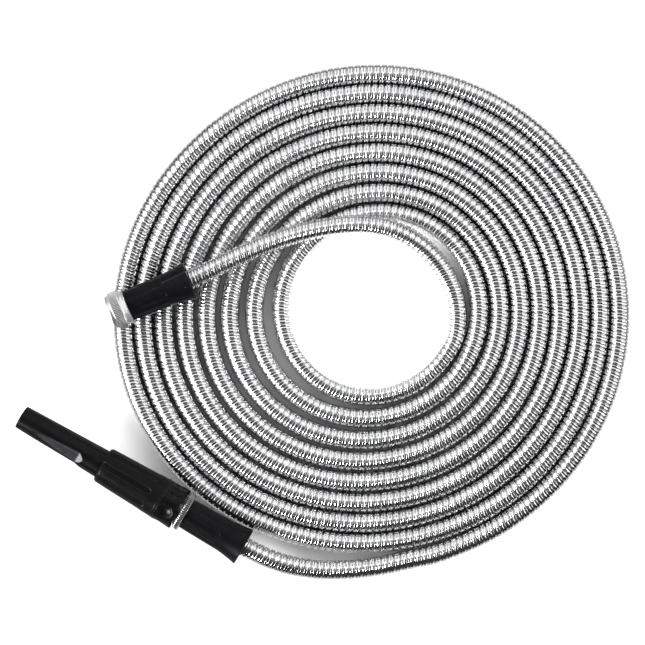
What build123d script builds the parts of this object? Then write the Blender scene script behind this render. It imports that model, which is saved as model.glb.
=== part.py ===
"""Coiled stainless-steel garden hose with a swivel tap nut and a twist nozzle.

Millimetres, +Z up. The hose lies on the floor z = 0 and the origin is under the middle of its box.
Stations along each end's fittings run along that end's axis, towards the hose.
"""

from build123d import *
from math import cos, exp, pi, radians, sin, tan
import os

os.makedirs("parts", exist_ok=True)

# Hose: a strip-wound steel tube round a plastic liner.
HOSE_RADIUS = 8.0
LINER_RADIUS = 6.5
BARB_RADIUS = 4.6
BARB_BORE = 3.4
GAP = 0.3  # between bodies that move past each other

# Flat coil: its centre, and how its turns grow outwards. Angles run clockwise seen from above, from +X.
COIL_X = 38.7
COIL_Y = 8.2
FIRST_RADIUS = 69.1
PITCH = 17.1
PITCH_LOSS = 0.05
SHIFT_ALONG = 2.7
SHIFT_ACROSS = -1.5
SHIFT_GROWTH = 0.23
OVAL_ALONG = 1.5
OVAL_ACROSS = -1.7
OVAL_GROWTH = 0.18
SLACK_ANGLE = 163.0
SLACK_WIDTH = 54.0
SLACK_START = -7.6
SLACK_GROWTH = 21.1
SLACK_TURNS = 2.2
COIL_TURNS = 8.21
COIL_POINTS_PER_TURN = 24
COIL_EDGE_BEVEL = 3.0

# Tap end: stations from the nut's free face.
TAP_X = -173.8
TAP_Y = 7.1
TAP_HEADING = 22.46
NUT_RADIUS = 16.0
NUT_COLLAR_RADIUS = 14.0
NUT_COLLAR_END = 3.1
NUT_KNURL_END = 11.4
NUT_END = 14.4
THREAD_HOLE_RADIUS = 12.4
THREAD_HOLE_END = 8.0
TAP_Z = 2 * HOSE_RADIUS + NUT_RADIUS + GAP
TAP_SLEEVE_START = 15.85
TAP_WASHER_START = 8.3
TAP_WASHER_END = 11.2
WASHER_BORE = 6.5
SWIVEL_FLANGE_RADIUS = 12.6
SWIVEL_NECK_RADIUS = 9.2

# Nozzle end: stations from the barrel's tip.
NOZZLE_X = -248.9
NOZZLE_Y = -78.1
NOZZLE_HEADING = -30.3
BARREL_TIP_RADIUS = 9.9
BARREL_REAR_RADIUS = 12.2
BARREL_END = 133.2
BARREL_BORE = 8.8
FLAT_DISTANCE = 10.35
FLAT_END = 57.3
FLAT_RAMP_SLOPE = 16.3
FLAT_ANGLES = (26.0, 86.0, 146.0)
GRIP_START = 77.5
GRIP_END = 133.4
GRIP_FRONT_RADIUS = 15.5
GRIP_REAR_RADIUS = 17.6
GROOVE_COUNT = 8
GRIP_GROOVE_ANGLE = -6.0
GRIP_GROOVE_HALF_WIDTH = 2.6
GRIP_GROOVE_DEPTH = 0.7
GRIP_GROOVE_END = 124.0
BASE_START = 133.8
BASE_END = 151.6
BASE_RADIUS = 17.7
BASE_CAVITY_RADIUS = 13.6
DIMPLE_COUNT = 6
DIMPLE_ANGLE = 19.3
DIMPLE_STATION = 141.2
DIMPLE_BALL_RADIUS = 11.0
DIMPLE_BALL_HEIGHT = 26.3
NOTCH_DEPTH = 2.0
NOTCH_WIDTH = 10.4
MALE_THREAD_START = 142.5
MALE_THREAD_RADIUS = 13.4
RING_START = 152.1
RING_END = 157.8
RING_RADIUS = 16.1
NOZZLE_Z = GRIP_REAR_RADIUS + GAP / 2

# Inside the nozzle: the valve stem is fixed in the base, and the barrel's thread runs on it.
JET_START = 1.6
JET_END = 15.0
OUTLET_RADIUS = 4.0
STEM_TIP = 8.6
STEM_THREAD_START = 92.0
STEM_THREAD_END = 112.6
STEM_THREAD_RADIUS = 8.0
STEM_BORE = 4.0
STEM_SHANK_RADIUS = 9.0
BARREL_THREAD_START = 95.0
BARREL_THREAD_END = 112.0
BARREL_THREAD_RADIUS = 8.2
BARREL_SHANK_BORE = 9.3
SEAL_GROOVE_START = 124.0
SEAL_GROOVE_END = 127.0
SEAL_GROOVE_RADIUS = 11.25
STOP_RING_START = 85.85
STOP_RING_END = 87.25
CONE_SEAL_STATION = 13.7
STEM_SEAL_STATION = 138.0
STEM_FLANGE_START = 136.3
STEM_FLANGE_END = 139.7
STEM_FLANGE_RADIUS = 11.6
INLET_WASHER_START = 140.0
INLET_WASHER_END = 142.4

# Strain-relief sleeve, the same on both ends: stations from its front face.
SLEEVE_LENGTH = 54.5
SLEEVE_FRONT_RADIUS = 12.8
SLEEVE_MIDDLE = 33.0
SLEEVE_MIDDLE_RADIUS = 13.4
SLEEVE_REAR_RADIUS = 16.1
SLEEVE_GROOVE_HALF_WIDTH = 2.4
SLEEVE_GROOVE_DEPTH = 0.5
SLEEVE_BORE = 8.7
SLEEVE_MOUTH_RADIUS = 11.0
PIP_STATION = 50.0
PIP_RADIUS = 0.9
BARB_LENGTH = 25.0
BARB_TEETH = 5
FERRULE_RADIUS = 8.5
TAP_GROOVE_ANGLE = 17.4
TAP_PIP_ANGLE = 17.4
NOZZLE_GROOVE_ANGLE = 4.0
NOZZLE_PIP_ANGLE = -41.0
HOSE_START = 28.0  # the hose's end face, from the sleeve's front face


def turn_radius(turns):
    """Distance from the coil's centre to the hose's centreline, after that many turns."""
    angle = 2 * pi * turns
    slack = SLACK_START + SLACK_GROWTH * (1 - exp(-turns / SLACK_TURNS))
    off_slack = ((360 * turns) % 360 - SLACK_ANGLE) / SLACK_WIDTH
    oval_across = OVAL_ACROSS + OVAL_GROWTH * turns
    oval = OVAL_ALONG * cos(2 * angle) + oval_across * sin(2 * angle)
    shift_across = SHIFT_ACROSS + SHIFT_GROWTH * turns
    shift = SHIFT_ALONG * cos(angle) + shift_across * sin(angle)
    spiral = FIRST_RADIUS + PITCH * turns - PITCH_LOSS * turns**2
    return spiral + shift + oval + slack * exp(-off_slack**2)


def coil_point(turns, outwards=0.0):
    """Point of the coil in plan, moved outwards from the centreline."""
    radius = turn_radius(turns) + outwards
    angle = 2 * pi * turns
    return (COIL_X + radius * cos(angle), COIL_Y - radius * sin(angle))


def axis_plane(x, y, z, heading):
    """Local frame of one end's fittings: local X points along the heading, towards the hose."""
    turn = radians(heading)
    return Plane(origin=(x, y, z), x_dir=(cos(turn), sin(turn), 0), z_dir=(0, 0, 1))


TAP_PLANE = axis_plane(TAP_X, TAP_Y, TAP_Z, TAP_HEADING)
NOZZLE_PLANE = axis_plane(NOZZLE_X, NOZZLE_Y, NOZZLE_Z, NOZZLE_HEADING)


def on_axis(plane, station):
    """Row-frame point on an end's axis."""
    return (plane.location * Pos(station, 0, 0)).position


def turned(outline):
    """Solid turned about local X from its (station, radius) corners."""
    return revolve(Polygon(*outline, align=None), Axis.X)


def o_ring(station, ring_radius, section_radius):
    """Toroidal seal round local X."""
    section = Pos(station, ring_radius) * Circle(section_radius)
    return revolve(section, Axis.X)


def about_axis(shape, count, first_angle):
    """Copies of a shape made at the top of the axis, spread evenly round it."""
    step = 360 / count
    return [Rot(first_angle + step * number, 0, 0) * shape for number in range(count)]


def save(name, shape, plane=None):
    """Writes one node, placed in the row frame."""
    placed = plane.location * shape if plane else shape
    export_step(placed, f"parts/{name}.step")
    return placed


def long_groove(start, end, start_radius, end_radius, depth, half_width):
    """Cutter for a round-ended groove along a cone, open at its start, at the top of the axis."""
    slope = (end_radius - start_radius) / (end - start)
    floor_start = start_radius - depth - slope * 2
    along = Vector(1, 0, slope).normalized()
    plane = Plane(origin=(start - 2, 0, floor_start), x_dir=along, z_dir=(-along.Z, 0, along.X))
    reach = end - start + 2 - half_width
    outline = Pos(reach / 2, 0) * Rectangle(reach, 2 * half_width)
    outline += Pos(reach, 0) * Circle(half_width)
    return plane.location * extrude(outline, 4.0)


# ---- hose ----

def hose_path(points):
    """Straight runs joined by arcs as large as both runs allow. Prints the arcs' radii."""
    corners = [Vector(*point) for point in points]
    radii = []
    for before, corner, after in zip(corners, corners[1:], corners[2:]):
        run_in = corner - before
        run_out = after - corner
        half_turn = radians(run_in.get_angle(run_out)) / 2
        radii.append(0.45 * min(run_in.length, run_out.length) / tan(half_turn))
    print("arc radii", [round(radius, 1) for radius in radii])
    return FilletPolyline(*corners, radius=radii)


def hose_tube(name, points):
    """Plain tube of the hose's outer size along a route."""
    path = hose_path(points)
    section = Plane(origin=path @ 0, z_dir=path % 0) * Circle(HOSE_RADIUS)
    tube = sweep(section, path=path)
    ideal = pi * HOSE_RADIUS**2 * path.length
    print(name, "length", round(path.length, 1), "volume over section x length", tube.volume / ideal)
    save(name, tube)


def coil_outline(first_turn, outwards, height):
    """Closed outline of one turn at a height, with a radial step where its two ends meet."""
    count = COIL_POINTS_PER_TURN
    turns = [first_turn + step / count for step in range(count)] + [first_turn + 0.9999]
    edge = Spline(*[(*coil_point(turn, outwards), height) for turn in turns])
    return make_face([edge, Line(edge @ 1, edge @ 0)])


def coil_solid():
    """Closed solid of the flat coil's outer shape, stepped where the hose comes in and goes out."""
    top = 2 * HOSE_RADIUS
    bevel = COIL_EDGE_BEVEL
    levels = [(0, bevel), (bevel, 0), (top - bevel, 0), (top, bevel)]
    outside = [coil_outline(COIL_TURNS - 1, HOSE_RADIUS - inset, height) for height, inset in levels]
    hole = [coil_outline(0.0, inset - HOSE_RADIUS, height) for height, inset in levels]
    return loft(outside, ruled=True) - loft(hole, ruled=True)


save("hose_coil", coil_solid())

coil_end = coil_point(COIL_TURNS)
end_angle = 2 * pi * COIL_TURNS
end_run = 19.7
before_end = (coil_end[0] - end_run * sin(end_angle), coil_end[1] - end_run * cos(end_angle))

# From the tap fittings over the turns, then down inside them and into the innermost turn.
tap_route = [
    on_axis(TAP_PLANE, TAP_SLEEVE_START + HOSE_START),
    on_axis(TAP_PLANE, TAP_SLEEVE_START + SLEEVE_LENGTH),
    (-80.8, 48.7, 30.0),
    (-51.8, 62.2, 26.0),
    (-21.8, 72.7, 24.3),
    (8.2, 79.0, 24.3),
    (35.8, 80.5, 24.3),
    (60.8, 75.3, 23.0),
    (84.0, 61.5, 17.0),
    (101.4, 40.9, 10.5),
    (111.2, 15.7, HOSE_RADIUS),
    (112.1, -11.3, HOSE_RADIUS),
]
hose_tube("hose_tap_lead", tap_route)

# From the nozzle fittings down to the floor and into the outermost turn.
nozzle_route = [
    on_axis(NOZZLE_PLANE, RING_END + HOSE_START),
    on_axis(NOZZLE_PLANE, RING_END + SLEEVE_LENGTH),
    (-38.8, -198.3, 14.5),
    (-10.8, -204.8, 9.5),
    (18.2, -205.6, HOSE_RADIUS),
    (47.2, -202.3, HOSE_RADIUS),
    (*before_end, HOSE_RADIUS),
    (*coil_end, HOSE_RADIUS),
]
hose_tube("hose_nozzle_lead", nozzle_route)


# ---- pieces that both ends have ----

def barbed_stem(start):
    """Hollow stem with raked teeth that holds the liner. It starts at a flange's face."""
    first_tooth = start + 4.0
    root = BARB_RADIUS - 0.6
    pitch = (BARB_LENGTH - 4.0) / BARB_TEETH
    outline = [(start, BARB_BORE), (start, BARB_RADIUS), (first_tooth, BARB_RADIUS)]
    for tooth in range(1, BARB_TEETH):
        outline += [(first_tooth + pitch * tooth, root), (first_tooth + pitch * tooth, BARB_RADIUS)]
    outline += [(start + BARB_LENGTH, root), (start + BARB_LENGTH, BARB_BORE)]
    return turned(outline)


def ferrule(front_face):
    """Crimped shell that squeezes the liner onto the barb."""
    crimped = FERRULE_RADIUS - 0.5
    outline = [(1.0, LINER_RADIUS), (1.0, FERRULE_RADIUS - 0.3), (1.4, FERRULE_RADIUS)]
    for crimp in (6.5, 13.0, 19.5):
        outline += [(crimp - 1.6, FERRULE_RADIUS), (crimp - 0.8, crimped)]
        outline += [(crimp + 0.8, crimped), (crimp + 1.6, FERRULE_RADIUS)]
    outline += [(24.0, FERRULE_RADIUS), (24.6, FERRULE_RADIUS - 0.4), (24.6, LINER_RADIUS)]
    return turned([(front_face + station, radius) for station, radius in outline])


def liner_end(front_face):
    """End of the hose's plastic liner, pushed over the barb."""
    return turned([
        (front_face + 0.5, BARB_RADIUS),
        (front_face + 0.5, LINER_RADIUS),
        (front_face + HOSE_START, LINER_RADIUS),
        (front_face + HOSE_START, BARB_RADIUS),
    ])


def sleeve(front_face, groove_angle, pip_angle):
    """Flared strain-relief sleeve with long round-ended grooves and a small pip each side of its mouth."""
    front = (0, SLEEVE_FRONT_RADIUS - 0.5)
    shoulder = (0.5, SLEEVE_FRONT_RADIUS)
    middle = (SLEEVE_MIDDLE, SLEEVE_MIDDLE_RADIUS)
    rear = (SLEEVE_LENGTH, SLEEVE_REAR_RADIUS)
    mouth = (SLEEVE_LENGTH, SLEEVE_MOUTH_RADIUS)
    bore = [mouth, (42.0, SLEEVE_BORE - 0.1), (26.0, SLEEVE_BORE - 0.1), (25.0, SLEEVE_BORE), (0, SLEEVE_BORE)]
    flare = Spline(middle, (46.0, 14.6), rear, tangents=[(1, 0.02), (1, 0.22)])
    edges = [Line(front, shoulder), Line(shoulder, middle), flare, Line(rear, mouth)]
    edges += [Line(a, b) for a, b in zip(bore, bore[1:])]
    edges.append(Line(bore[-1], front))
    body = revolve(make_face(edges), Axis.X)
    groove = long_groove(
        0, SLEEVE_MIDDLE, SLEEVE_FRONT_RADIUS, SLEEVE_MIDDLE_RADIUS,
        SLEEVE_GROOVE_DEPTH, SLEEVE_GROOVE_HALF_WIDTH,
    )
    for cutter in about_axis(groove, GROOVE_COUNT, groove_angle):
        body -= cutter
    pip = Pos(PIP_STATION, 0, 15.0) * Sphere(PIP_RADIUS)
    for raised in about_axis(pip, 2, pip_angle):
        body += raised
    return Pos(front_face, 0, 0) * body


# ---- tap end ----

save("tap_nut", turned([
    (0.0, THREAD_HOLE_RADIUS + 0.8),
    (0.0, NUT_COLLAR_RADIUS - 0.5),
    (0.5, NUT_COLLAR_RADIUS),
    (NUT_COLLAR_END, NUT_COLLAR_RADIUS),
    (NUT_COLLAR_END, NUT_RADIUS - 0.6),
    (NUT_COLLAR_END + 0.6, NUT_RADIUS),
    (NUT_KNURL_END - 0.6, NUT_RADIUS),
    (NUT_KNURL_END, NUT_RADIUS - 0.6),
    (NUT_KNURL_END + 0.4, NUT_RADIUS - 1.6),
    (NUT_END, NUT_COLLAR_RADIUS - 0.4),
    (NUT_END, SWIVEL_NECK_RADIUS + GAP),
    (12.95, SWIVEL_NECK_RADIUS + GAP),
    (12.95, THREAD_HOLE_RADIUS + 0.5),
    (THREAD_HOLE_END, THREAD_HOLE_RADIUS + 0.5),
    (THREAD_HOLE_END, THREAD_HOLE_RADIUS),
    (0.8, THREAD_HOLE_RADIUS),
]), TAP_PLANE)


def washer(start, end, radius):
    """Flat sealing washer."""
    return turned([(start, WASHER_BORE), (start, radius), (end, radius), (end, WASHER_BORE)])


save("tap_washer", washer(TAP_WASHER_START, TAP_WASHER_END, SWIVEL_FLANGE_RADIUS), TAP_PLANE)

tap_coupling = turned([
    (TAP_WASHER_END + 0.1, 5.0),
    (TAP_WASHER_END + 0.1, SWIVEL_FLANGE_RADIUS),
    (12.8, SWIVEL_FLANGE_RADIUS),
    (12.8, SWIVEL_NECK_RADIUS),
    (NUT_END + GAP, SWIVEL_NECK_RADIUS),
    (NUT_END + GAP, 15.4),
    (NUT_END + 0.6, 15.7),
    (TAP_SLEEVE_START - 0.3, 15.7),
    (TAP_SLEEVE_START, 15.4),
    (TAP_SLEEVE_START, BARB_BORE),
])
save("tap_coupling", tap_coupling + barbed_stem(TAP_SLEEVE_START), TAP_PLANE)
save("tap_liner_end", liner_end(TAP_SLEEVE_START), TAP_PLANE)
save("tap_ferrule", ferrule(TAP_SLEEVE_START), TAP_PLANE)
save("tap_sleeve", sleeve(TAP_SLEEVE_START, TAP_GROOVE_ANGLE, TAP_PIP_ANGLE), TAP_PLANE)


# ---- nozzle end: the hose's own fittings ----

male_coupling = turned([
    (MALE_THREAD_START, 6.0),
    (MALE_THREAD_START, MALE_THREAD_RADIUS - 1.0),
    (MALE_THREAD_START + 1.0, MALE_THREAD_RADIUS),
    (RING_START - 1.6, MALE_THREAD_RADIUS),
    (RING_START - 0.9, MALE_THREAD_RADIUS - 1.2),
    (RING_START, MALE_THREAD_RADIUS - 1.2),
    (RING_START, RING_RADIUS - 1.6),
    (RING_START + 0.7, RING_RADIUS - 0.6),
    (RING_START + 2.2, RING_RADIUS),
    (RING_END - 0.6, RING_RADIUS),
    (RING_END, RING_RADIUS - 0.6),
    (RING_END, BARB_BORE),
    (RING_END - 4.0, BARB_BORE),
    (RING_END - 8.0, 6.0),
])
save("male_coupling", male_coupling + barbed_stem(RING_END), NOZZLE_PLANE)
save("nozzle_liner_end", liner_end(RING_END), NOZZLE_PLANE)
save("nozzle_ferrule", ferrule(RING_END), NOZZLE_PLANE)
save("nozzle_sleeve", sleeve(RING_END, NOZZLE_GROOVE_ANGLE, NOZZLE_PIP_ANGLE), NOZZLE_PLANE)


# ---- nozzle ----

save("inlet_washer", washer(INLET_WASHER_START, INLET_WASHER_END, MALE_THREAD_RADIUS - 0.2), NOZZLE_PLANE)


def nozzle_base():
    """Collar that screws onto the hose: round dimples outside, a notched rear edge, a cavity for the thread."""
    body = turned([
        (BASE_START, STEM_SHANK_RADIUS + 0.2),
        (BASE_START, BASE_RADIUS - 0.8),
        (BASE_START + 0.8, BASE_RADIUS),
        (BASE_END - 0.4, BASE_RADIUS),
        (BASE_END, BASE_RADIUS - 0.4),
        (BASE_END, BASE_CAVITY_RADIUS),
        (STEM_FLANGE_END + 0.2, BASE_CAVITY_RADIUS),
        (STEM_FLANGE_END + 0.2, STEM_FLANGE_RADIUS + 0.2),
        (STEM_FLANGE_START - 0.1, STEM_FLANGE_RADIUS + 0.2),
        (STEM_FLANGE_START - 0.1, STEM_SHANK_RADIUS + 0.2),
    ])
    dimple = Pos(DIMPLE_STATION, 0, DIMPLE_BALL_HEIGHT) * Sphere(DIMPLE_BALL_RADIUS)
    notch = Pos(BASE_END, 0, BASE_RADIUS) * Box(2 * NOTCH_DEPTH, NOTCH_WIDTH, 12.0)
    for cutter in about_axis(dimple, DIMPLE_COUNT, DIMPLE_ANGLE):
        body -= cutter
    for cutter in about_axis(notch, DIMPLE_COUNT, DIMPLE_ANGLE - 180 / DIMPLE_COUNT):
        body -= cutter
    return body


save("nozzle_base", nozzle_base(), NOZZLE_PLANE)


def valve_stem():
    """Hollow stem fixed in the base, with side ports and a conical head that shuts the outlet."""
    shank = 3.0
    shoulder = 7.1
    seal_groove = 10.2
    body = turned([
        (STEM_TIP, 0.0),
        (STEM_TIP, 2.2),
        (12.6, 4.6),
        (CONE_SEAL_STATION - 0.8, 4.6),
        (CONE_SEAL_STATION - 0.8, 4.0),
        (CONE_SEAL_STATION + 0.8, 4.0),
        (CONE_SEAL_STATION + 0.8, 5.2),
        (17.0, 5.2),
        (22.0, shank),
        (72.0, shank),
        (76.0, 6.0),
        (STOP_RING_START - 0.55, 6.0),
        (STOP_RING_START - 0.55, shoulder),
        (STOP_RING_START - 0.05, shoulder),
        (STOP_RING_START - 0.05, shoulder - 0.7),
        (STOP_RING_END + 0.05, shoulder - 0.7),
        (STOP_RING_END + 0.05, shoulder),
        (STEM_THREAD_START, STEM_THREAD_RADIUS),
        (STEM_THREAD_END, STEM_THREAD_RADIUS),
        (STEM_THREAD_END + 1.0, STEM_SHANK_RADIUS),
        (STEM_FLANGE_START, STEM_SHANK_RADIUS),
        (STEM_FLANGE_START, STEM_FLANGE_RADIUS),
        (STEM_SEAL_STATION - 0.9, STEM_FLANGE_RADIUS),
        (STEM_SEAL_STATION - 0.9, seal_groove),
        (STEM_SEAL_STATION + 0.9, seal_groove),
        (STEM_SEAL_STATION + 0.9, STEM_FLANGE_RADIUS),
        (STEM_FLANGE_END, STEM_FLANGE_RADIUS),
        (STEM_FLANGE_END, STEM_BORE),
        (78.0, STEM_BORE),
        (76.0, 0.0),
    ])
    port = Pos(81.0, 0, 5.0) * Cylinder(2.0, 6.0)
    for cutter in about_axis(port, 4, 0.0):
        body -= cutter
    return body


save("valve_stem", valve_stem(), NOZZLE_PLANE)
save("stem_seal", o_ring(STEM_SEAL_STATION, 10.95, 0.75), NOZZLE_PLANE)
save("stop_ring", turned([
    (STOP_RING_START, 6.45),
    (STOP_RING_START, 8.5),
    (STOP_RING_END, 8.5),
    (STOP_RING_END, 6.45),
]), NOZZLE_PLANE)
save("cone_seal", o_ring(CONE_SEAL_STATION, 4.75, 0.75), NOZZLE_PLANE)
save("barrel_seal", o_ring((SEAL_GROOVE_START + SEAL_GROOVE_END) / 2, 10.15, 1.05), NOZZLE_PLANE)


def barrel():
    """Tapered barrel with flats down one side that end in short ramps. A thread inside runs on the valve stem."""
    slope = (BARREL_REAR_RADIUS - BARREL_TIP_RADIUS) / GRIP_START
    body = turned([
        (0.0, 7.4),
        (0.0, BARREL_TIP_RADIUS - 0.8),
        (0.25, BARREL_TIP_RADIUS - 0.25),
        (0.8, BARREL_TIP_RADIUS + 0.8 * slope),
        (GRIP_START, BARREL_REAR_RADIUS),
        (BARREL_END, BARREL_REAR_RADIUS),
        (BARREL_END, BARREL_SHANK_BORE),
        (SEAL_GROOVE_END, BARREL_SHANK_BORE),
        (SEAL_GROOVE_END, SEAL_GROOVE_RADIUS),
        (SEAL_GROOVE_START, SEAL_GROOVE_RADIUS),
        (SEAL_GROOVE_START, BARREL_SHANK_BORE),
        (BARREL_THREAD_END + 1.0, BARREL_SHANK_BORE),
        (BARREL_THREAD_END, BARREL_THREAD_RADIUS),
        (BARREL_THREAD_START, BARREL_THREAD_RADIUS),
        (BARREL_THREAD_START - 0.6, BARREL_BORE),
        (JET_START, BARREL_BORE),
        (JET_START, 7.4),
    ])
    cutter_top = 14.0
    ramp_run = (cutter_top - FLAT_DISTANCE) / tan(radians(FLAT_RAMP_SLOPE))
    profile = Polygon(
        (-1, FLAT_DISTANCE),
        (FLAT_END, FLAT_DISTANCE),
        (FLAT_END + ramp_run, cutter_top),
        (-1, cutter_top),
        align=None,
    )
    flat = extrude(Plane.XZ * profile, 8, both=True)
    for angle in FLAT_ANGLES:
        body -= Rot(angle, 0, 0) * flat
    return body


save("barrel", barrel(), NOZZLE_PLANE)

save("jet_insert", turned([
    (JET_START, OUTLET_RADIUS),
    (JET_START, BARREL_BORE),
    (JET_END, BARREL_BORE),
    (JET_END, 7.2),
    (JET_END - 0.4, 6.7),
    (9.0, OUTLET_RADIUS),
]), NOZZLE_PLANE)


def grip_sleeve():
    """Grip moulded over the barrel's rear, with long round-ended grooves and a rim at its rear edge."""
    body = turned([
        (GRIP_START, BARREL_REAR_RADIUS),
        (GRIP_START, GRIP_FRONT_RADIUS - 1.4),
        (GRIP_START + 1.8, GRIP_FRONT_RADIUS),
        (GRIP_END - 1.6, GRIP_REAR_RADIUS - 0.25),
        (GRIP_END - 1.2, GRIP_REAR_RADIUS),
        (GRIP_END - 0.3, GRIP_REAR_RADIUS),
        (GRIP_END, GRIP_REAR_RADIUS - 0.3),
        (GRIP_END, BARREL_REAR_RADIUS),
    ])
    groove = long_groove(
        GRIP_START, GRIP_GROOVE_END, GRIP_FRONT_RADIUS, 17.2,
        GRIP_GROOVE_DEPTH, GRIP_GROOVE_HALF_WIDTH,
    )
    for cutter in about_axis(groove, GROOVE_COUNT, GRIP_GROOVE_ANGLE):
        body -= cutter
    return body


save("grip_sleeve", grip_sleeve(), NOZZLE_PLANE)
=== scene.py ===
"""Looks of the coiled steel garden hose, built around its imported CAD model.

The scene is in metres, +Z up, with the hose on the floor at z = 0. Each end's fittings are given by stations
along that end's axis, which runs towards the hose, and by radii from it, all in millimetres.
"""

from math import cos, exp, pi, radians, sin

import bpy
import numpy as np
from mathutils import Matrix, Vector


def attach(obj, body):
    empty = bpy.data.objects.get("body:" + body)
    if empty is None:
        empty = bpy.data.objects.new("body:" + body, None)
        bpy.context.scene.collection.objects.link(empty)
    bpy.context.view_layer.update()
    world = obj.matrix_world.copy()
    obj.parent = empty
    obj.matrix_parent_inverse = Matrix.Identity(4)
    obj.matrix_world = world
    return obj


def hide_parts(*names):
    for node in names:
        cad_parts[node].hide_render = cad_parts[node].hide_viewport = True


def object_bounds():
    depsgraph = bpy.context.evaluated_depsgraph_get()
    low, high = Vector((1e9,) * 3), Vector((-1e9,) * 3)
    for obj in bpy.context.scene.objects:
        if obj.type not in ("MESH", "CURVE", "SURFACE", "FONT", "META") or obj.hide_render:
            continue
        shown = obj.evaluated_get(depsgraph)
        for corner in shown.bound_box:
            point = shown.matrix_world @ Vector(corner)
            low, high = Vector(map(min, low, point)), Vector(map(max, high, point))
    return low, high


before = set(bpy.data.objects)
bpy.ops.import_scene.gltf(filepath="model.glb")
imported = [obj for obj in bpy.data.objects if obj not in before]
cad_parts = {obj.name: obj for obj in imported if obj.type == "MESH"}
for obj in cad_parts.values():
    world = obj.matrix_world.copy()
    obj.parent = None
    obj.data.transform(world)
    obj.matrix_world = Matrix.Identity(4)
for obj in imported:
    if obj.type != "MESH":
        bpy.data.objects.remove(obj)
cad_low, cad_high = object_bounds()
centre = (cad_low + cad_high) / 2

MM = 0.001
UP = np.array([0.0, 0.0, 1.0])


# ---- camera: straight above the coil ----

CAMERA_ABOVE_HOSE = 1.660
HOSE_MIDDLE_Z = 8 * MM
CAMERA_OFF_X = 0.8 * MM  # how far the camera stands off the middle of the CAD box
CAMERA_OFF_Y = 0.5 * MM
CAMERA_LENS = 111.8

camera_data = bpy.data.cameras.new("camera")
camera_data.lens = CAMERA_LENS
camera_data.sensor_width = 36.0
camera_data.clip_start = 0.05
camera_data.clip_end = 20.0
camera = bpy.data.objects.new("camera", camera_data)
camera.location = (centre.x - CAMERA_OFF_X, centre.y - CAMERA_OFF_Y, CAMERA_ABOVE_HOSE + HOSE_MIDDLE_Z)
bpy.context.scene.collection.objects.link(camera)
bpy.context.scene.camera = camera


# ---- the two ends' axes ----

class End:
    """Local frame of one end's fittings, from its free end in millimetres and its heading in degrees.

    Angles about the axis run from the top, the way a right-hand screw along the axis turns.
    """

    def __init__(self, x, y, z, heading):
        turn = radians(heading)
        self.origin = np.array([x, y, z]) * MM
        self.along = np.array([cos(turn), sin(turn), 0.0])
        self.side = np.array([-sin(turn), cos(turn), 0.0])

    def place(self, station, radius, angle):
        """Scene points from stations and radii in millimetres and angles in radians."""
        station, radius, angle = np.broadcast_arrays(station, radius, angle)
        flat = station[..., None] * self.along - (radius * np.sin(angle))[..., None] * self.side
        return self.origin + (flat + (radius * np.cos(angle))[..., None] * UP) * MM

    def on_axis(self, station):
        return self.place(station, 0.0, 0.0)


NUT_TOP = 48.3
NUT_RADIUS = 16.0
NOZZLE_HEIGHT = 17.75
TAP = End(-173.8, 7.1, NUT_TOP - NUT_RADIUS, 22.46)
NOZZLE = End(-248.9, -78.1, NOZZLE_HEIGHT, -30.3)
TAP_SLEEVE_START = 15.85
RING_END = 157.8
SLEEVE_LENGTH = 54.5
HOSE_START = 28.0  # from a sleeve's narrow end to the end of the hose inside it


# ---- hose: its route, in metres ----

HOSE_Z = 0.00815
COIL_X = 0.0387
COIL_Y = 0.0082
FIRST_COIL_POINT = 0.083  # turns at the coil's first control point, counted clockwise from +X
LAST_COIL_POINT = 8.205
COIL_STEPS = 24  # control points in one turn
# The coil's radius, in millimetres, and what each turn adds to it.
INNER_RADIUS = 69.1
TURN_WIDTH = 17.1
TURN_TIGHTENING = -0.05
# The slack where the turns bulge to the left, tight in the first turn and loose in the last ones.
FIRST_SLACK = -7.6
SLACK_GAIN = 21.1
SLACK_TURNS = 2.2
SLACK_DIRECTION = 163.0  # degrees, clockwise from +X
SLACK_SPREAD = 54.0  # degrees


def turn_radius(turns):
    """Millimetres from the coil's centre to the hose: a spiral, off round, with slack on the left."""
    angle = 2 * pi * turns
    spiral = INNER_RADIUS + TURN_WIDTH * turns + TURN_TIGHTENING * turns**2
    off_centre = 2.7 * cos(angle) + (0.23 * turns - 1.5) * sin(angle)
    oval = 1.5 * cos(2 * angle) + (0.18 * turns - 1.7) * sin(2 * angle)
    slack = FIRST_SLACK + SLACK_GAIN * (1 - exp(-turns / SLACK_TURNS))
    off_slack = ((360 * turns) % 360 - SLACK_DIRECTION) / SLACK_SPREAD
    return spiral + off_centre + oval + slack * exp(-off_slack**2)


def coil_points():
    """Control points round the coil, outside the centreline by as much as the spline cuts inside them."""
    count = round((LAST_COIL_POINT - FIRST_COIL_POINT) * COIL_STEPS)
    points = []
    for turns in np.linspace(FIRST_COIL_POINT, LAST_COIL_POINT, count + 1):
        angle = 2 * pi * turns
        radius = turn_radius(turns) * MM / cos(pi / COIL_STEPS)
        points.append((COIL_X + radius * cos(angle), COIL_Y - radius * sin(angle), HOSE_Z))
    return points


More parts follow.
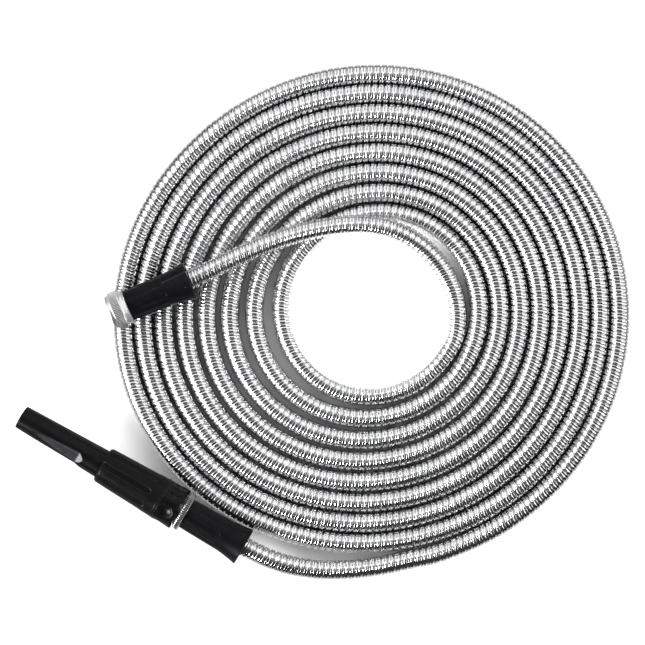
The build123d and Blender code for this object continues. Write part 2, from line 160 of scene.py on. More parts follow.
tap_route = [
    tuple(TAP.on_axis(TAP_SLEEVE_START + HOSE_START)),
    tuple(TAP.on_axis(TAP_SLEEVE_START + SLEEVE_LENGTH)),
    (-0.0808, 0.0487, 0.0300),
    (-0.0518, 0.0622, 0.0262),
    (-0.0218, 0.0727, 0.0244),
    (0.0082, 0.0790, 0.0244),
    (0.0358, 0.0805, 0.0244),
    (0.0608, 0.0753, 0.0232),
    (0.0840, 0.0615, 0.0172),
    (0.1014, 0.0409, 0.0106),
    (0.1112, 0.0157, HOSE_Z),
    (0.1106, -0.0110, HOSE_Z),
]
nozzle_route = [
    (0.0710, -0.1967, HOSE_Z),
    (0.0472, -0.2023, HOSE_Z),
    (0.0182, -0.2056, HOSE_Z),
    (-0.0108, -0.2048, 0.0095),
    (-0.0388, -0.1983, 0.0145),
    tuple(NOZZLE.on_axis(RING_END + SLEEVE_LENGTH)),
    tuple(NOZZLE.on_axis(RING_END + HOSE_START)),
]


def spline_points(points):
    """Points read along the smooth line whose control points these are."""
    curve = bpy.data.curves.new("hose_route", "CURVE")
    curve.dimensions = "3D"
    curve.resolution_u = 16
    spline = curve.splines.new("NURBS")
    spline.points.add(len(points) - 1)
    for point, place in zip(spline.points, points):
        point.co = (*place, 1.0)
    spline.order_u = 3
    spline.use_endpoint_u = True
    carrier = bpy.data.objects.new("hose_route", curve)
    mesh = bpy.data.meshes.new_from_object(carrier)
    line = np.array([vertex.co for vertex in mesh.vertices], float)
    bpy.data.meshes.remove(mesh)
    bpy.data.curves.remove(curve)
    return line


def evenly(line, step):
    """The line again, with points a set step apart, and its length."""
    gaps = np.linalg.norm(np.diff(line, axis=0), axis=1)
    along = np.concatenate([[0.0], np.cumsum(gaps)])
    at = np.arange(0.0, along[-1], step)
    return np.stack([np.interp(at, along, line[:, axis]) for axis in range(3)], axis=1), along[-1]


def add_mesh(name, points, faces):
    """Smooth mesh object from rows of points and lists of faces."""
    mesh = bpy.data.meshes.new(name)
    mesh.from_pydata(points, [], faces)
    mesh.validate()
    mesh.shade_smooth()
    piece = bpy.data.objects.new(name, mesh)
    bpy.context.scene.collection.objects.link(piece)
    return piece


def store_groove(piece, groove):
    """Keeps how deep each point lies in a groove, 0 to 1, for the piece's material."""
    attribute = piece.data.attributes.new("groove", "FLOAT", "POINT")
    attribute.data.foreach_set("value", groove.astype(np.float32))


# ---- hose: one strip wound round and round ----

STRIP_PITCH = 5.45 * MM
LINE_SPACING = STRIP_PITCH / 20  # between the points of the hose's line
STRIP_SEGMENTS = 26  # faces round the hose
HOSE_RADIUS = 8.12 * MM  # of the strip's crests
GROOVE_FLOOR = 1.35  # millimetres below the crests
# One crowned rib, from the deep groove to the shallow crease: share of the pitch, depth in millimetres.
RIB = [
    (0.092, GROOVE_FLOOR), (0.102, GROOVE_FLOOR), (0.110, 0.75), (0.117, 0.38), (0.127, 0.20), (0.146, 0.10),
    (0.174, 0.04), (0.210, 0.01), (0.255, 0.0), (0.300, 0.008), (0.345, 0.03), (0.385, 0.07), (0.420, 0.13),
    (0.445, 0.20), (0.468, 0.28), (0.485, 0.31),
]
# The second rib of each pitch mirrors the first.
STRIP_SECTION = [(0.0, GROOVE_FLOOR), *RIB, *[(1 - share, depth) for share, depth in reversed(RIB)]]


def hose_mesh(line, length):
    """Helical strip along an evenly spaced line, closed at both ends."""
    share = np.array([row[0] for row in STRIP_SECTION])
    depth = np.array([row[1] for row in STRIP_SECTION]) * MM
    rows = len(STRIP_SECTION)
    turns = int(length / STRIP_PITCH) - 1
    tangent = np.gradient(line, axis=0)
    tangent /= np.linalg.norm(tangent, axis=1)[:, None]
    side = np.cross(tangent, UP)
    side /= np.linalg.norm(side, axis=1)[:, None]
    top = np.cross(side, tangent)

    step = np.arange(turns * STRIP_SEGMENTS + 1)
    along = (step[:, None] / STRIP_SEGMENTS + share[None, :]) * STRIP_PITCH
    along = np.minimum(along, (len(line) - 1) * LINE_SPACING)
    angle = 2 * pi * step / STRIP_SEGMENTS
    index = along / LINE_SPACING

    def at(values):
        number = np.arange(len(values))
        return np.stack([np.interp(index, number, values[:, axis]) for axis in range(3)], -1)

    radius = HOSE_RADIUS - depth[None, :]
    outwards = at(side) * np.cos(angle)[:, None, None] + at(top) * np.sin(angle)[:, None, None]
    points = at(line) + outwards * radius[..., None]

    count = len(step)
    number = np.arange(count * rows).reshape(count, rows)
    strip = np.stack([number[:-1, :-1], number[:-1, 1:], number[1:, 1:], number[1:, :-1]], -1)
    here = np.arange(count - 1 - STRIP_SEGMENTS)
    seam = np.stack([
        number[here, rows - 1], number[here + STRIP_SEGMENTS, 0],
        number[here + 1 + STRIP_SEGMENTS, 0], number[here + 1, rows - 1],
    ], -1)
    faces = [tuple(face) for face in np.concatenate([strip.reshape(-1, 4), seam]).tolist()]

    flat = points.reshape(-1, 3)
    first_edge = list(number[: STRIP_SEGMENTS + 1, 0]) + list(number[0, :0:-1])
    last = count - 1
    last_edge = [number[k, rows - 1] for k in range(last - STRIP_SEGMENTS, last + 1)]
    last_edge += list(number[last, rows - 2 :: -1])
    centres = [line[0], line[min(len(line) - 1, int(index[last, 0]))]]
    for loop, middle in ((first_edge, 0), (last_edge[::-1], 1)):
        hub = len(flat) + middle
        faces += [(int(a), int(b), hub) for a, b in zip(loop, loop[1:] + loop[:1])]
    piece = add_mesh("hose", np.concatenate([flat, np.array(centres)]), faces)
    store_groove(piece, np.concatenate([np.tile(depth / depth.max(), count), [1.0, 1.0]]))
    return piece


hose_line, hose_length = evenly(spline_points(tap_route + coil_points() + nozzle_route), LINE_SPACING)
hose = hose_mesh(hose_line, hose_length)


# ---- turned pieces ----

MOST_CUT = 0.45  # share of a side that rounding one of its corners may take
DEEP_GROOVE = 0.6  # millimetres below the bare turned surface that count as a full groove
FAR = 99.0  # millimetres, beyond every surface


def rounded(corners, reach, detail=3):
    """Closed section with its corners cut round. A corner is (station, radius) or adds its own reach."""
    points = np.array([corner[:2] for corner in corners], float)
    section = []
    for number, corner in enumerate(corners):
        here = points[number]
        back = points[number - 1] - here
        ahead = points[(number + 1) % len(points)] - here
        back_length = np.linalg.norm(back)
        ahead_length = np.linalg.norm(ahead)
        wanted = corner[2] if len(corner) > 2 else reach
        cut = min(wanted, MOST_CUT * back_length, MOST_CUT * ahead_length)
        start = here + back / back_length * cut
        finish = here + ahead / ahead_length * cut
        for share in np.linspace(0, 1, detail + 1):
            section.append((1 - share)**2 * start + 2 * share * (1 - share) * here + share**2 * finish)
    return np.array(section)


def divided(section, step):
    """The section with its long sides cut into steps."""
    points = []
    for start, finish in zip(section, np.roll(section, -1, axis=0)):
        count = max(1, int(np.ceil(np.linalg.norm(finish - start) / step)))
        points += [start + (finish - start) * number / count for number in range(count)]
    return np.array(points)


def smooth(value, low, high):
    """From 0 at low to 1 at high, with no corners."""
    share = np.clip((value - low) / (high - low), 0, 1)
    return share * share * (3 - 2 * share)


def lesser(first, second, blend):
    """The smaller of two values, rounded over where they meet."""
    share = np.clip(0.5 + 0.5 * (second - first) / blend, 0, 1)
    return second + (first - second) * share - blend * share * (1 - share)


def off_nearest(angle, first, count):
    """Angle from the nearest of evenly spread features, in radians. The first one's place is in degrees."""
    step = 2 * pi / count
    return (angle - radians(first) + step / 2) % step - step / 2


def turned(name, end, section, steps, carve):
    """Closed mesh turned about an end's axis. carve moves its stations and radii at each angle."""
    angle = np.arange(steps)[:, None] * 2 * pi / steps
    bare = np.tile(section[:, 1], (steps, 1))
    station, radius = carve(np.tile(section[:, 0], (steps, 1)), bare, angle)
    points = end.place(station, radius, angle)
    number = np.arange(station.size).reshape(station.shape)
    next_turn = np.roll(number, -1, 0)
    corners = [number, np.roll(number, -1, 1), np.roll(next_turn, -1, 1), next_turn]
    following = np.roll(section, -1, axis=0)
    area = np.sum(section[:, 0] * following[:, 1] - following[:, 0] * section[:, 1])
    if area < 0:
        corners.reverse()
    faces = np.stack(corners, -1).reshape(-1, 4)
    piece = add_mesh(name, points.reshape(-1, 3), faces.tolist())
    store_groove(piece, np.clip(abs(radius - bare) / DEEP_GROOVE, 0, 1).ravel())
    return piece


GROOVES = 8  # on each sleeve and on the grip


def round_ended_grooves(station, radius, angle, first, end_station, depth, half_width):
    """Radii with long flat-floored grooves sunk in, round at their far ends."""
    off = off_nearest(angle, first, GROOVES)
    beyond = np.maximum(station - (end_station - half_width), 0)
    inside = half_width - np.hypot(radius * np.sin(off), beyond)
    floor_radius = (radius - depth) / np.cos(off)
    return radius + (floor_radius - radius) * smooth(inside, -0.1, 0.45)


def straight_knurl(angle, count, depth):
    """Depth below the crests of a straight knurl: that many fine ridges along the axis."""
    across = abs((count * angle / (2 * pi)) % 1 - 0.5) * 2
    return depth * smooth(across, 0.25, 0.95)


def screw_thread(station, angle, start, finish, pitch, depth):
    """Depth of a right-hand thread below its crests, faded in and out over half a turn."""
    phase = (station / pitch - angle / (2 * pi)) % 1
    flank = np.clip(abs(phase - 0.5) * 2 * 1.35 - 0.15, 0, 1)
    faded_in = smooth(station, start - 0.3, start + 0.5)
    faded_out = smooth(-station, -finish - 0.3, -finish + 0.5)
    return depth * (1 - flank) * faded_in * faded_out


THREAD_PITCH = 2.209
KNURL_START = 3.1
KNURL_END = 11.4
KNURL_DEPTH = 0.6
KNURLED_FROM = 15.0  # radius outside which the nut and the ring are knurled
THREADED_UNDER = 12.45  # radius inside which the nut is threaded
NUT_RIDGES = 72
NUT_STEPS = 8 * NUT_RIDGES
RING_RIDGES = 52
RING_STEPS = 10 * RING_RIDGES


def tap_nut_carving(station, radius, angle):
    faded_in = smooth(station, KNURL_START + 0.5, KNURL_START + 1.1)
    faded_out = smooth(-station, -KNURL_END + 0.4, -KNURL_END + 1.0)
    knurled = radius - faded_in * faded_out * straight_knurl(angle, NUT_RIDGES, KNURL_DEPTH)
    threaded = radius + screw_thread(station, angle, 1.2, 7.6, THREAD_PITCH, 1.0)
    within = np.where(radius < THREADED_UNDER, threaded, radius)
    return station, np.where(radius > KNURLED_FROM, knurled, within)


def make_tap_nut():
    """Swivel nut: plain collar, knurled band, taper towards the sleeve, thread inside."""
    section = rounded([
        (0.0, 13.2), (0.0, 14.0, 0.5), (KNURL_START, 14.0, 0.2), (KNURL_START, NUT_RADIUS, 0.6),
        (KNURL_END, NUT_RADIUS, 0.6), (11.8, 14.4), (14.4, 13.6, 0.4), (14.4, 9.5),
        (12.95, 9.5), (12.95, 12.9), (8.0, 12.9), (8.0, 12.4), (0.8, 12.4, 0.3),
    ], 0.15)
    return turned("tap_nut_knurled", TAP, divided(section, 0.35), NUT_STEPS, tap_nut_carving)


def male_coupling_carving(station, radius, angle):
    on_thread = (radius > 13.2) & (radius < 13.5)
    threaded = radius - screw_thread(station, angle, 143.6, 150.4, THREAD_PITCH, 1.1)
    band = smooth(station, 152.7, 153.2) * smooth(-station, -157.3, -156.8)
    knurled = radius - band * straight_knurl(angle, RING_RIDGES, KNURL_DEPTH)
    plain_or_knurled = np.where(radius > KNURLED_FROM, knurled, radius)
    return station, np.where(on_thread, threaded, plain_or_knurled)


STEM_BORE = 3.4
BARB_VALLEY = 4.0
BARB_CREST = 4.6
BARB_PITCH = 4.2
PLAIN_STEM = 4.0  # length before the first barb
STEM_LENGTH = 25.0


def barb_corners(start):
    """Corners along the outside of the barbed stem, from the flange's face, and of its open end."""
    corners = [(start, BARB_CREST), (start + PLAIN_STEM, BARB_CREST)]
    for tooth in range(1, 5):
        station = start + PLAIN_STEM + BARB_PITCH * tooth
        corners += [(station, BARB_VALLEY), (station, BARB_CREST)]
    return corners + [(start + STEM_LENGTH, BARB_VALLEY), (start + STEM_LENGTH, STEM_BORE)]


def make_male_coupling():
    """The hose's male end: thread, neck, knurled ring and the barbed stem inside the sleeve."""
    section = rounded([
        (142.5, 6.0), (142.5, 12.4, 0.2), (143.5, 13.4, 0.3),
        (150.5, 13.4, 0.3), (151.2, 12.2), (152.1, 12.2),
        (152.1, 14.6, 0.4), (152.8, 15.6, 0.5), (154.3, 16.1, 1.0), (157.1, 16.0, 0.5), (RING_END, 15.4, 0.3),
        *barb_corners(RING_END), (153.8, STEM_BORE), (149.8, 6.0),
    ], 0.12)
    return turned("hose_male_coupling", NOZZLE, divided(section, 0.4), RING_STEPS, male_coupling_carving)


FLARE_START = 33.0
FLARE_START_RADIUS = 13.4
FLARE_END_RADIUS = 16.1
SLEEVE_BORE = 8.6
SLEEVE_GROOVE_DEPTH = 0.5
PIP_STATION = 50.0
PIP_CENTRE_RADIUS = 15.0
PIP_RADIUS_SQUARED = 0.81


def flare_corners():
    """Corners along the sleeve's flare, which leaves its straight part smoothly and opens at its end."""
    start = np.array([FLARE_START, FLARE_START_RADIUS])
    finish = np.array([SLEEVE_LENGTH, FLARE_END_RADIUS])
    leave = np.array([21.5, 0.43])
    arrive = np.array([21.5, 4.73])
    return [
        tuple(
            (2 * share**3 - 3 * share**2 + 1) * start + (share**3 - 2 * share**2 + share) * leave
            + (3 * share**2 - 2 * share**3) * finish + (share**3 - share**2) * arrive
        )
        for share in np.linspace(0, 1, 16)[1:-1]
    ]


def make_sleeve(name, end, start, groove_angle, pip_angle):
    """Flared strain-relief sleeve: eight long grooves and two small pips."""
    section = rounded([
        (0.0, 8.7), (0.0, 12.8, 0.6), (FLARE_START, FLARE_START_RADIUS), *flare_corners(),
        (SLEEVE_LENGTH, FLARE_END_RADIUS, 0.7), (SLEEVE_LENGTH, 11.0, 0.9), (42.0, SLEEVE_BORE),
        (25.0, SLEEVE_BORE),
    ], 0.2)

    def carve(station, radius, angle):
        outside = radius > 12.6
        grooved = round_ended_grooves(
            station, radius, angle, groove_angle, FLARE_START, SLEEVE_GROOVE_DEPTH, 2.4)
        across = PIP_CENTRE_RADIUS * np.sin(off_nearest(angle, pip_angle, 2))
        inside_pip = PIP_RADIUS_SQUARED - (station - PIP_STATION)**2 - across**2
        pip = PIP_CENTRE_RADIUS + np.sqrt(np.maximum(inside_pip, 0))
        raised = np.maximum(grooved, np.where(inside_pip > 0, pip, 0))
        return station + start, np.where(outside, raised, radius)

    return turned(name, end, divided(section, 0.7), 360, carve)


BASE_RADIUS = 17.7
BASE_END = 151.6
DIMPLES = 6
FIRST_DIMPLE = 19.3
DIMPLE_STATION = 141.2
BALL_RADIUS = 11.0  # the ball that sinks each dimple
BALL_CENTRE_RADIUS = 26.3
NOTCHES = 6
FIRST_NOTCH = 49.3
NOTCH_HALF_WIDTH = 5.2
NOTCH_DEPTH = 2.0
NOTCH_BEND_START = 146.0  # stations from here to the rear edge move with the notch


def base_carving(station, radius, angle):
    off = off_nearest(angle, FIRST_DIMPLE, DIMPLES)
    middle = BALL_CENTRE_RADIUS * np.cos(off)
    under = middle**2 - BALL_CENTRE_RADIUS**2 - (station - DIMPLE_STATION)**2 + BALL_RADIUS**2
    ball = np.where(under > 0, middle - np.sqrt(np.maximum(under, 0)), FAR)
    dimpled = np.where(radius > 16.5, lesser(radius, ball, 0.25), radius)
    off_notch = off_nearest(angle, FIRST_NOTCH, NOTCHES)
    across = NOTCH_HALF_WIDTH - abs(BASE_RADIUS * np.sin(off_notch))
    notch = NOTCH_DEPTH * smooth(across, -0.15, 0.3)
    bend = np.clip((station - NOTCH_BEND_START) / (BASE_END - NOTCH_BEND_START), 0, 1)
    return station - notch * bend, dimpled


def make_nozzle_base():
    """Collar that screws onto the hose: six round dimples, a rear edge with six notches."""
    section = rounded([
        (133.8, 9.2), (133.8, BASE_RADIUS, 0.8), (BASE_END, BASE_RADIUS, 0.4), (BASE_END, 13.6, 0.3),
        (139.9, 13.6), (139.9, 11.8), (136.2, 11.8), (136.2, 9.2),
    ], 0.15)
    return turned("nozzle_base_shell", NOZZLE, divided(section, 0.4), 540, base_carving)


FLAT_ANGLES = (26.0, 86.0, 146.0)
FLAT_HEIGHT = 10.35  # from the axis to each flat
RAMP_START = 57.3
RAMP_SLOPE = 0.2924
FLAT_REACH = 1.2  # radians either side of a flat's middle where it can cut the barrel


def barrel_carving(station, radius, angle):
    height = FLAT_HEIGHT + np.maximum(station - RAMP_START, 0) * RAMP_SLOPE
    outside = (radius > 9.0) & (station < 76.0)
    for flat_angle in FLAT_ANGLES:
        off = off_nearest(angle, flat_angle, 1)
        on_flat = height / np.cos(np.clip(off, -FLAT_REACH, FLAT_REACH))
        flat = np.where(abs(off) < FLAT_REACH, on_flat, FAR)
        radius = np.where(outside, lesser(radius, flat, 0.12), radius)
    return station, radius


def make_barrel():
    """Tapered barrel with three flats down one side that end in short ramps."""
    section = rounded([
        (0.0, 7.4), (0.0, 9.9, 0.8), (77.5, 12.2), (133.2, 12.2, 0.3), (133.2, 9.3),
        (127.0, 9.3), (127.0, 11.25), (124.0, 11.25), (124.0, 9.3), (113.0, 9.3),
        (112.0, 8.2), (95.0, 8.2), (94.4, 8.8), (1.6, 8.8), (1.6, 7.4),
    ], 0.15)
    return turned("barrel_shell", NOZZLE, divided(section, 0.6), 420, barrel_carving)


GRIP_GROOVE_END = 124.0
GRIP_GROOVE_DEPTH = 0.9


def grip_carving(station, radius, angle):
    grooved = round_ended_grooves(station, radius, angle, -6.0, GRIP_GROOVE_END, GRIP_GROOVE_DEPTH, 2.6)
    return station, np.where(radius > 13.3, grooved, radius)


def make_grip():
    """Grip over the barrel's rear half: eight grooves, a bevelled front and a thin rim behind."""
    section = rounded([
        (77.5, 12.25), (77.5, 14.1, 0.4), (79.3, 15.5, 0.8), (131.8, 17.35, 0.3), (132.2, 17.6, 0.2),
        (133.7, 17.6, 0.3), (133.7, 12.25),
    ], 0.2)
    return turned("grip_shell", NOZZLE, divided(section, 0.5), 480, grip_carving)


# ---- materials ----

WHITE = (1.0, 1.0, 1.0)
FINE_BUMP = 0.03 * MM
GRAIN_BUMP = 0.04 * MM


def principled(name, color, roughness, metallic=0.0):
    """New material, and its shader node, node list and link list."""
    material = bpy.data.materials.new(name)
    material.use_nodes = True
    tree = material.node_tree
    shader = tree.nodes["Principled BSDF"]
    shader.inputs["Base Color"].default_value = (*color, 1.0)
    shader.inputs["Roughness"].default_value = roughness
    shader.inputs["Metallic"].default_value = metallic
    return material, shader, tree.nodes, tree.links


def place_node(nodes, links, scale=(1.0, 1.0, 1.0), rotation=0.0):
    """The piece's own coordinates, in metres, turned about Z and stretched."""
    coordinates = nodes.new("ShaderNodeTexCoord")
    mapping = nodes.new("ShaderNodeMapping")
    mapping.vector_type = "TEXTURE"
    mapping.inputs["Rotation"].default_value = (0.0, 0.0, rotation)
    mapping.inputs["Scale"].default_value = scale
    links.new(coordinates.outputs["Object"], mapping.inputs["Vector"])
    return mapping.outputs["Vector"]


def noise(nodes, links, vector, scale, detail=3.0, roughness=0.5):
    texture = nodes.new("ShaderNodeTexNoise")
    texture.inputs["Scale"].default_value = scale
    texture.inputs["Detail"].default_value = detail
    texture.inputs["Roughness"].default_value = roughness
    links.new(vector, texture.inputs["Vector"])
    return texture.outputs["Fac"]


def spread_values(nodes, links, value, low, high, from_low=0.3, from_high=0.7):
    """Value stretched from one range to another."""
    node = nodes.new("ShaderNodeMapRange")
    node.inputs["From Min"].default_value = from_low
    node.inputs["From Max"].default_value = from_high
    node.inputs["To Min"].default_value = low
    node.inputs["To Max"].default_value = high
    links.new(value, node.inputs["Value"])
    return node.outputs["Result"]


def ramp(nodes, links, value, stops):
    """Colour from a value through stops of (position, colour)."""
    node = nodes.new("ShaderNodeValToRGB")
    elements = node.color_ramp.elements
    while len(elements) < len(stops):
        elements.new(0.5)
    for element, (position, color) in zip(elements, stops):
        element.position = position
        element.color = (*color, 1.0)
    links.new(value, node.inputs["Fac"])
    return node.outputs["Color"]


def bump(nodes, links, shader, height, distance, strength=1.0):
    node = nodes.new("ShaderNodeBump")
    node.inputs["Distance"].default_value = distance
    node.inputs["Strength"].default_value = strength
    links.new(height, node.inputs["Height"])
    links.new(node.outputs["Normal"], shader.inputs["Normal"])


def math_node(nodes, links, operation, first, second):
    node = nodes.new("ShaderNodeMath")
    node.operation = operation
    for socket, value in zip(node.inputs, (first, second)):
        if isinstance(value, float):
            socket.default_value = value
        else:
            links.new(value, socket)
    return node.outputs["Value"]


def multiply_colors(nodes, links, first, second):
    node = nodes.new("ShaderNodeMix")
    node.data_type = "RGBA"
    node.blend_type = "MULTIPLY"
    node.inputs["Factor"].default_value = 1.0
    links.new(first, node.inputs["A"])
    links.new(second, node.inputs["B"])
    return node.outputs["Result"]


def groove_depth(nodes):
    """How deep the surface lies in a groove, 0 to 1."""
    attribute = nodes.new("ShaderNodeAttribute")
    attribute.attribute_name = "groove"
    return attribute.outputs["Fac"]


def hose_steel():
    """Bright rolled strip: duller grooves with painted shade, faint rolling streaks, soft changes of tone."""
    material, shader, nodes, links = principled("hose_steel", (0.8, 0.8, 0.81), 0.2, 1.0)
    place = place_node(nodes, links)
    tone = ramp(nodes, links, noise(nodes, links, place, 90.0, 4.0), [
        (0.30, (0.74, 0.745, 0.755)), (0.55, (0.86, 0.86, 0.865)), (0.75, (0.93, 0.93, 0.925)),
    ])
    groove = groove_depth(nodes)
    # Painted shade: the strip's colour gets darker the deeper it lies in a groove.
    painted_groove_shade = ramp(nodes, links, groove, [
        (0.0, WHITE), (0.2, (0.95, 0.95, 0.95)), (0.5, (0.80, 0.80, 0.80)), (1.0, (0.70, 0.70, 0.71)),
    ])
    links.new(multiply_colors(nodes, links, tone, painted_groove_shade), shader.inputs["Base Color"])
    streaks = noise(nodes, links, place, 900.0, 5.0, 0.65)
    soft = spread_values(nodes, links, streaks, 0.10, 0.20)
    dull = spread_values(nodes, links, groove, 0.0, 0.12, 0.4, 1.0)
    links.new(math_node(nodes, links, "ADD", soft, dull), shader.inputs["Roughness"])
    bump(nodes, links, shader, streaks, GRAIN_BUMP)
    return material


hose.data.materials.append(hose_steel())
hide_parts("hose_coil", "hose_tap_lead", "hose_nozzle_lead")
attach(hose, "hose")


def place_along(nodes, links, end, along, across):
    """Coordinates that run along an end's axis, stretched so that detail is long that way."""
    heading = float(np.arctan2(end.along[1], end.along[0]))
    return place_node(nodes, links, (along, across, across), heading)


def aluminium(name, end, tone, roughness, valley_shade):
    """Machined light alloy: fine turning marks round it, faint handling marks, painted shade between the
    ridges.
    """
    material, shader, nodes, links = principled(name, (tone,) * 3, roughness, 1.0)
    rings = noise(nodes, links, place_along(nodes, links, end, 0.02, 1.0), 60.0, 3.0)
    marks = noise(nodes, links, place_node(nodes, links), 500.0, 4.0, 0.6)
    metal = ramp(nodes, links, marks, [(0.3, (0.86 * tone,) * 3), (0.6, (1.04 * tone,) * 3)])
    # Painted shade: the valleys between ridges and thread turns are darkened with their depth.
    painted_groove_shade = ramp(nodes, links, groove_depth(nodes), [(0.1, WHITE), (0.85, (valley_shade,) * 3)])
    links.new(multiply_colors(nodes, links, metal, painted_groove_shade), shader.inputs["Base Color"])
    gloss = spread_values(nodes, links, rings, roughness - 0.07, roughness + 0.08)
    links.new(gloss, shader.inputs["Roughness"])
    bump(nodes, links, shader, rings, FINE_BUMP)
    return material


def edge_light(nodes, links, low, high):
    """How sharply the surface turns outwards, for the lighter look of worn edges."""
    geometry = nodes.new("ShaderNodeNewGeometry")
    return spread_values(nodes, links, geometry.outputs["Pointiness"], 0.0, 1.0, low, high)


WORN_EDGE = 5.0  # how many times lighter the sharpest edges are


def black_plastic(name, end, color, roughness, gloss, grain, streak, flat_sheen=1.0):
    """Moulded black plastic: fine grain, faint lengthwise streaks, dust, lighter edges and flats with a
    painted sheen.
    """
    material, shader, nodes, links = principled(name, color, roughness)
    shader.inputs["Specular IOR Level"].default_value = gloss
    fine = noise(nodes, links, place_node(nodes, links), grain, 3.0, 0.6)
    streaks = noise(nodes, links, place_along(nodes, links, end, 30.0, 1.0), streak, 3.0, 0.6)
    dust = noise(nodes, links, place_node(nodes, links), 160.0, 5.0, 0.7)
    light = tuple(channel * 2.0 + 0.001 for channel in color)
    body = ramp(nodes, links, dust, [(0.35, color), (0.85, light)])
    edges = edge_light(nodes, links, 0.505, 0.56)
    worn = ramp(nodes, links, edges, [(0.0, WHITE), (1.0, (WORN_EDGE,) * 3)])
    # Painted sheen: where the surface is cut down to a flat, it is painted lighter in place of the light the
    # flat reflects.
    flats = ramp(nodes, links, groove_depth(nodes), [(0.1, WHITE), (0.3, (flat_sheen,) * 3)])
    edged = multiply_colors(nodes, links, body, worn)
    links.new(multiply_colors(nodes, links, edged, flats), shader.inputs["Base Color"])
    dulling = spread_values(nodes, links, streaks, roughness - 0.05, roughness + 0.1)
    links.new(dulling, shader.inputs["Roughness"])
    height = math_node(nodes, links, "ADD", fine, math_node(nodes, links, "MULTIPLY", streaks, 0.6))
    bump(nodes, links, shader, height, FINE_BUMP)
    return material


def rubber(name):
    """Soft black rubber of the seals."""
    material, shader, nodes, links = principled(name, (0.02, 0.02, 0.02), 0.6)
    grain = noise(nodes, links, place_node(nodes, links), 1800.0, 4.0, 0.6)
    color = ramp(nodes, links, grain, [(0.3, (0.014, 0.014, 0.014)), (0.7, (0.035, 0.035, 0.034))])
    links.new(color, shader.inputs["Base Color"])
    links.new(spread_values(nodes, links, grain, 0.5, 0.72), shader.inputs["Roughness"])
    bump(nodes, links, shader, grain, GRAIN_BUMP)
    return material


def turned_metal(name, dark, light, roughness):
    """Machined metal in two close tones, such as the brass valve and the sprung stop ring."""
    material, shader, nodes, links = principled(name, light, roughness, 1.0)
    tarnish = noise(nodes, links, place_node(nodes, links), 140.0, 4.0, 0.6)
    rings = noise(nodes, links, place_along(nodes, links, NOZZLE, 0.02, 1.0), 70.0, 3.0)
    links.new(ramp(nodes, links, tarnish, [(0.3, dark), (0.65, light)]), shader.inputs["Base Color"])
    gloss = spread_values(nodes, links, rings, roughness - 0.08, roughness + 0.1)
    links.new(gloss, shader.inputs["Roughness"])
    bump(nodes, links, shader, rings, FINE_BUMP)
    return material


def liner_plastic():
    """Milky hose liner."""
    material, shader, nodes, links = principled("liner_milky", (0.75, 0.77, 0.78), 0.4)
    cloud = noise(nodes, links, place_node(nodes, links), 220.0, 3.0)
    color = ramp(nodes, links, cloud, [(0.3, (0.66, 0.69, 0.71)), (0.7, (0.80, 0.82, 0.83))])
    links.new(color, shader.inputs["Base Color"])
    links.new(spread_values(nodes, links, cloud, 0.34, 0.48), shader.inputs["Roughness"])
    return material


def dress(piece, material):
    """Gives a piece one material all over."""
    piece.data.materials.clear()
    piece.data.materials.append(material)


def stand_for(piece, node, body, material):
    """A piece shown in place of a CAD node, which it hides, on the body given."""
    dress(piece, material)
    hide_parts(node)
    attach(piece, body)


SLEEVE_BLACK = (0.0030, 0.0030, 0.0036)
NOZZLE_BLACK = (0.0030, 0.0030, 0.0034)
GRIP_BLACK = (0.0032, 0.0032, 0.0036)
# How many times lighter the barrel's flats are painted: a painted sheen.
PAINTED_FLAT_SHEEN = 6.0

# The last figure is how dark the painted shade in the knurl and thread valleys is.
tap_metal = aluminium("tap_aluminium", TAP, 0.90, 0.42, 0.42)
nozzle_metal = aluminium("nozzle_aluminium", NOZZLE, 0.44, 0.30, 0.22)
tap_black = black_plastic("tap_sleeve_black", TAP, SLEEVE_BLACK, 0.36, 0.15, 2600.0, 700.0)
sleeve_black = black_plastic("nozzle_sleeve_black", NOZZLE, SLEEVE_BLACK, 0.36, 0.15, 2600.0, 700.0)
nozzle_black = black_plastic("nozzle_black", NOZZLE, NOZZLE_BLACK, 0.22, 0.20, 2200.0, 500.0)
grip_black = black_plastic("grip_black", NOZZLE, GRIP_BLACK, 0.32, 0.15, 3000.0, 600.0)
barrel_black = black_plastic("barrel_black", NOZZLE, NOZZLE_BLACK, 0.22, 0.20, 2200.0, 500.0, PAINTED_FLAT_SHEEN)
seal_black = rubber("seal_rubber")
brass = turned_metal("valve_brass", (0.55, 0.38, 0.16), (0.75, 0.58, 0.30), 0.28)
spring_steel = turned_metal("ring_steel", (0.42, 0.42, 0.44), (0.62, 0.62, 0.64), 0.3)
liner_white = liner_plastic()

stand_for(make_tap_nut(), "tap_nut", "tap_nut", tap_metal)
male_coupling = make_male_coupling()
stand_for(male_coupling, "male_coupling", "hose", nozzle_metal)
tap_sleeve = make_sleeve("tap_relief_sleeve", TAP, TAP_SLEEVE_START, 17.4, 17.4)
stand_for(tap_sleeve, "tap_sleeve", "hose", tap_black)
nozzle_sleeve = make_sleeve("nozzle_relief_sleeve", NOZZLE, RING_END, 4.0, -41.0)
stand_for(nozzle_sleeve, "nozzle_sleeve", "hose", sleeve_black)
stand_for(make_nozzle_base(), "nozzle_base", "nozzle_base", nozzle_black)
stand_for(make_barrel(), "barrel", "barrel", barrel_black)
stand_for(make_grip(), "grip_sleeve", "barrel", grip_black)

NODE_MATERIALS = {
    "tap_coupling": tap_metal, "tap_ferrule": tap_metal, "nozzle_ferrule": nozzle_metal,
    "tap_liner_end": liner_white, "nozzle_liner_end": liner_white,
    "tap_washer": seal_black, "inlet_washer": seal_black, "stem_seal": seal_black,
    "cone_seal": seal_black, "barrel_seal": seal_black,
    "valve_stem": brass, "jet_insert": brass, "stop_ring": spring_steel,
}
for node, material in NODE_MATERIALS.items():
    dress(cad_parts[node], material)


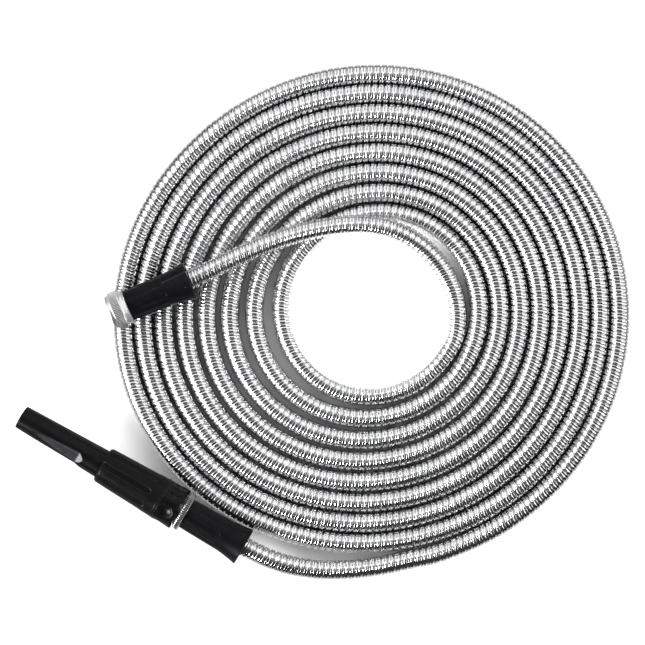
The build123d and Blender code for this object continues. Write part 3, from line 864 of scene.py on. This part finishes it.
# ---- floor and light ----

FLOOR_STEPS = 96
UNDER_COIL = 0.205  # metres from the coil's centre to the edge of the floor beneath it
FLOOR_EDGE = 6.0
UNDER_FLOOR = -0.4  # height of the panel that stands in for the floor in reflections


def add_floor():
    """Large pale floor. Only the round under the coil shows in reflections, so that the steel stands out."""
    turn = np.arange(FLOOR_STEPS) * 2 * pi / FLOOR_STEPS
    circle = np.stack([np.cos(turn), np.sin(turn), 0 * turn], axis=1)
    middle = np.array([COIL_X, COIL_Y, 0.0])
    inner = middle + UNDER_COIL * circle
    outer = middle + FLOOR_EDGE * circle
    around = []
    for step in range(FLOOR_STEPS):
        following = (step + 1) % FLOOR_STEPS
        around.append((step, step + FLOOR_STEPS, following + FLOOR_STEPS, following))
    under_coil = add_mesh("floor_under_coil", inner, [list(range(FLOOR_STEPS))])
    surround = add_mesh("floor", np.concatenate([inner, outer]), around)
    surround.visible_glossy = False
    material = principled("floor_white", (0.8, 0.8, 0.8), 0.7)[0]
    for piece in (under_coil, surround):
        piece.data.materials.append(material)


def add_softbox(name, direction, near_top, far_bottom, width, radiance):
    """Panel seen only in reflections, between two edges given as (metres out, metres up).

    It faces the object, and its direction is in degrees from +X.
    """
    turn = radians(direction)
    out = Vector((cos(turn), sin(turn), 0.0))
    top = out * near_top[0] + Vector((0, 0, near_top[1]))
    bottom = out * far_bottom[0] + Vector((0, 0, far_bottom[1]))
    height = (top - bottom).length
    light = bpy.data.lights.new(name, "AREA")
    light.shape = "RECTANGLE"
    light.size = width
    light.size_y = height
    light.energy = radiance * pi * width * height
    lamp = bpy.data.objects.new(name, light)
    lamp.location = (top + bottom) / 2
    across = Vector((-sin(turn), cos(turn), 0.0))
    facing = across.cross(top - bottom).normalized()
    if facing.dot(lamp.location) > 0:
        facing = -facing
    lamp.rotation_mode = "QUATERNION"
    lamp.rotation_quaternion = facing.to_track_quat("-Z", "Y")
    lamp.visible_diffuse = False
    lamp.visible_camera = False
    bpy.context.scene.collection.objects.link(lamp)


add_floor()
add_softbox("north_light", 90.0, (0.35, 1.62), (1.9, 0.1), 2.2, 0.88)
add_softbox("west_light", 180.0, (0.85, 1.50), (1.8, 0.1), 1.5, 1.2)
add_softbox("east_light", 0.0, (0.85, 1.50), (1.8, 0.1), 1.5, 1.2)
add_softbox("south_dim", 270.0, (0.45, 1.75), (1.9, 0.1), 2.4, 0.06)
add_softbox("top_dim", 270.0, (-0.45, 2.3), (0.75, 2.2), 1.3, 0.16)
add_softbox("floor_sheen", 90.0, (-1.9, UNDER_FLOOR), (1.9, UNDER_FLOOR), 3.8, 0.6)
add_softbox("lamp", 208.0, (1.25, 0.85), (1.50, 0.35), 0.5, 26.0)


SKY_STRENGTH = 5.4


def add_sky():
    """Soft light from all round for matt surfaces, none from overhead, so that narrow gaps stay dark."""
    world = bpy.data.worlds.new("studio")
    world.use_nodes = True
    nodes, links = world.node_tree.nodes, world.node_tree.links
    coordinates = nodes.new("ShaderNodeTexCoord")
    parts = nodes.new("ShaderNodeSeparateXYZ")
    links.new(coordinates.outputs["Generated"], parts.inputs["Vector"])
    strength = spread_values(nodes, links, parts.outputs["Z"], SKY_STRENGTH, 0.0, 0.58, 0.70)
    links.new(strength, nodes["Background"].inputs["Strength"])
    nodes["Background"].inputs["Color"].default_value = (1.0, 1.0, 1.0, 1.0)
    bpy.context.scene.world = world
    world.cycles_visibility.glossy = False


add_sky()
view = bpy.context.scene.view_settings
view.view_transform = "Standard"
view.exposure = 0.35
view.gamma = 0.8
